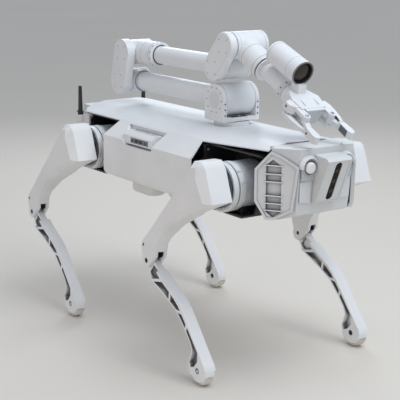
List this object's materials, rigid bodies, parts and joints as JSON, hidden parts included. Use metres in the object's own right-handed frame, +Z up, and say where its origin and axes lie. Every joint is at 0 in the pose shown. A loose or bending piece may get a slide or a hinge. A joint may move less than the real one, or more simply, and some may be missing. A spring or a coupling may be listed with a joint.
{
  "type": "quadruped robot",
  "caption": "Four-legged walking robot with a faceted trunk, two-link legs on round feet, and a jointed gripper arm folded flat along its back.",
  "frame": {"origin": "on the floor under the centre of the whole robot's box", "axes": "+X towards the nose and along the robot's length, +Y to the robot's left, +Z up"},
  "size_m": [1.1727, 0.574, 0.8979],
  "materials": {
    "white_cover": "satin",
    "grey_cover": "satin",
    "white_leg": "satin",
    "black_frame": "satin",
    "battery_case": "matte",
    "motor_metal": "satin",
    "arm_metal": "satin",
    "arm_cover": "satin",
    "dark_window": "gloss",
    "lamp_white": "gloss",
    "screw_steel": "satin",
    "sole_rubber": "matte"
  },
  "bodies": {
    "trunk": {"chassis_frame": "black_frame", "top_cover": "white_cover", "side_cover_right": "white_cover", "side_cover_left": "white_cover", "belly_pan": "grey_cover", "battery_pack": "battery_case", "control_unit": "battery_case", "hip_roll_motors": "motor_metal", "head_shell": "white_cover", "cheek_plates": "white_cover", "nose_panel": "white_cover", "nose_window": "dark_window", "head_lamps": "lamp_white", "rear_cover": "grey_cover", "antennas": "battery_case", "trunk_screws": "screw_steel", "arm_base": "arm_metal"},
    "turret": {"arm_turret": "arm_metal"},
    "upper_arm": {"shoulder_motor": "arm_metal", "upper_arm_tube": "arm_metal", "elbow_drum": "arm_metal"},
    "forearm": {"elbow_link": "arm_metal", "forearm_tube": "arm_metal", "forearm_drum": "arm_metal"},
    "wrist_link": {"wrist_link": "arm_metal"},
    "wrist": {"wrist_motor": "arm_metal"},
    "tool": {"tool_tube": "arm_cover", "gripper_palm": "arm_cover", "gripper_camera": "arm_cover", "camera_lens": "dark_window"},
    "finger_right": {"gripper_finger_right": "arm_cover"},
    "finger_left": {"gripper_finger_left": "arm_cover"},
    "front_right_hip": {"front_right_hip_bracket": "black_frame", "front_right_hip_motor": "motor_metal"},
    "front_right_thigh": {"front_right_thigh_cover": "white_leg", "front_right_knee_motor": "motor_metal", "front_right_knee_pin": "screw_steel"},
    "front_right_calf": {"front_right_calf": "white_leg", "front_right_foot_pad": "sole_rubber"},
    "front_left_hip": {"front_left_hip_bracket": "black_frame", "front_left_hip_motor": "motor_metal"},
    "front_left_thigh": {"front_left_thigh_cover": "white_leg", "front_left_knee_motor": "motor_metal", "front_left_knee_pin": "screw_steel"},
    "front_left_calf": {"front_left_calf": "white_leg", "front_left_foot_pad": "sole_rubber"},
    "rear_right_hip": {"rear_right_hip_bracket": "black_frame", "rear_right_hip_motor": "motor_metal"},
    "rear_right_thigh": {"rear_right_thigh_cover": "white_leg", "rear_right_knee_motor": "motor_metal", "rear_right_knee_pin": "screw_steel"},
    "rear_right_calf": {"rear_right_calf": "white_leg", "rear_right_foot_pad": "sole_rubber"},
    "rear_left_hip": {"rear_left_hip_bracket": "black_frame", "rear_left_hip_motor": "motor_metal"},
    "rear_left_thigh": {"rear_left_thigh_cover": "white_leg", "rear_left_knee_motor": "motor_metal", "rear_left_knee_pin": "screw_steel"},
    "rear_left_calf": {"rear_left_calf": "white_leg", "rear_left_foot_pad": "sole_rubber"}
  },
  "joints": [
    {"name": "front_right_hip_roll", "type": "hinge", "parent": "trunk", "child": "front_right_hip", "pos_m": [0.3353, -0.092, 0.514], "axis": [-1, 0, 0], "range_deg": [-20, 20]},
    {"name": "front_right_thigh_pitch", "type": "hinge", "parent": "front_right_hip", "child": "front_right_thigh", "pos_m": [0.3353, -0.092, 0.514], "axis": [0, 1, 0], "range_deg": [-70, 45]},
    {"name": "front_right_knee", "type": "hinge", "parent": "front_right_thigh", "child": "front_right_calf", "pos_m": [0.12994, -0.2685, 0.28351], "axis": [0, 1, 0], "range_deg": [-45, 50]},
    {"name": "front_left_hip_roll", "type": "hinge", "parent": "trunk", "child": "front_left_hip", "pos_m": [0.3353, 0.092, 0.514], "axis": [1, 0, 0], "range_deg": [-20, 20]},
    {"name": "front_left_thigh_pitch", "type": "hinge", "parent": "front_left_hip", "child": "front_left_thigh", "pos_m": [0.3353, 0.092, 0.514], "axis": [0, 1, 0], "range_deg": [-70, 45]},
    {"name": "front_left_knee", "type": "hinge", "parent": "front_left_thigh", "child": "front_left_calf", "pos_m": [0.12994, 0.2685, 0.28351], "axis": [0, 1, 0], "range_deg": [-45, 50]},
    {"name": "rear_right_hip_roll", "type": "hinge", "parent": "trunk", "child": "rear_right_hip", "pos_m": [-0.3497, -0.092, 0.514], "axis": [-1, 0, 0], "range_deg": [-20, 20]},
    {"name": "rear_right_thigh_pitch", "type": "hinge", "parent": "rear_right_hip", "child": "rear_right_thigh", "pos_m": [-0.3497, -0.092, 0.514], "axis": [0, 1, 0], "range_deg": [-45, 45]},
    {"name": "rear_right_knee", "type": "hinge", "parent": "rear_right_thigh", "child": "rear_right_calf", "pos_m": [-0.55506, -0.2685, 0.28351], "axis": [0, 1, 0], "range_deg": [-45, 50]},
    {"name": "rear_left_hip_roll", "type": "hinge", "parent": "trunk", "child": "rear_left_hip", "pos_m": [-0.3497, 0.092, 0.514], "axis": [1, 0, 0], "range_deg": [-20, 20]},
    {"name": "rear_left_thigh_pitch", "type": "hinge", "parent": "rear_left_hip", "child": "rear_left_thigh", "pos_m": [-0.3497, 0.092, 0.514], "axis": [0, 1, 0], "range_deg": [-45, 45]},
    {"name": "rear_left_knee", "type": "hinge", "parent": "rear_left_thigh", "child": "rear_left_calf", "pos_m": [-0.55506, 0.2685, 0.28351], "axis": [0, 1, 0], "range_deg": [-45, 50]},
    {"name": "arm_yaw", "type": "hinge", "parent": "trunk", "child": "turret", "pos_m": [0.1283, 0, 0.645], "axis": [0, 0, 1], "range_deg": [-150, 150]},
    {"name": "arm_shoulder", "type": "hinge", "parent": "turret", "child": "upper_arm", "pos_m": [0.1283, 0, 0.708], "axis": [0, 1, 0], "range_deg": [0, 110]},
    {"name": "arm_elbow", "type": "hinge", "parent": "upper_arm", "child": "forearm", "pos_m": [-0.3807, 0, 0.708], "axis": [0, 1, 0], "range_deg": [-110, 0]},
    {"name": "wrist_link_lift", "type": "hinge", "parent": "forearm", "child": "wrist_link", "pos_m": [0.1203, 0, 0.797], "axis": [0, -1, 0], "range_deg": [0, 45]},
    {"name": "wrist_pitch", "type": "hinge", "parent": "wrist_link", "child": "wrist", "pos_m": [0.1723, 0, 0.86], "axis": [0, -1, 0], "range_deg": [0, 90]},
    {"name": "tool_roll", "type": "hinge", "parent": "wrist", "child": "tool", "pos_m": [0.261, 0, 0.81383], "axis": [0.887, 0, -0.4617], "range_deg": [-12, 12]},
    {"name": "finger_right", "type": "hinge", "parent": "tool", "child": "finger_right", "pos_m": [0.4934, -0.042, 0.69285], "axis": [0.4617, 0, 0.887], "range_deg": [0, 20]},
    {"name": "finger_left", "type": "hinge", "parent": "tool", "child": "finger_left", "pos_m": [0.4934, 0.042, 0.69285], "axis": [0.4617, 0, 0.887], "range_deg": [-20, 0]}
  ],
  "couplings": [
    {"joint": "arm_elbow", "follows": "arm_shoulder", "ratio": -1},
    {"joint": "finger_left", "follows": "finger_right", "ratio": -1}
  ]
}
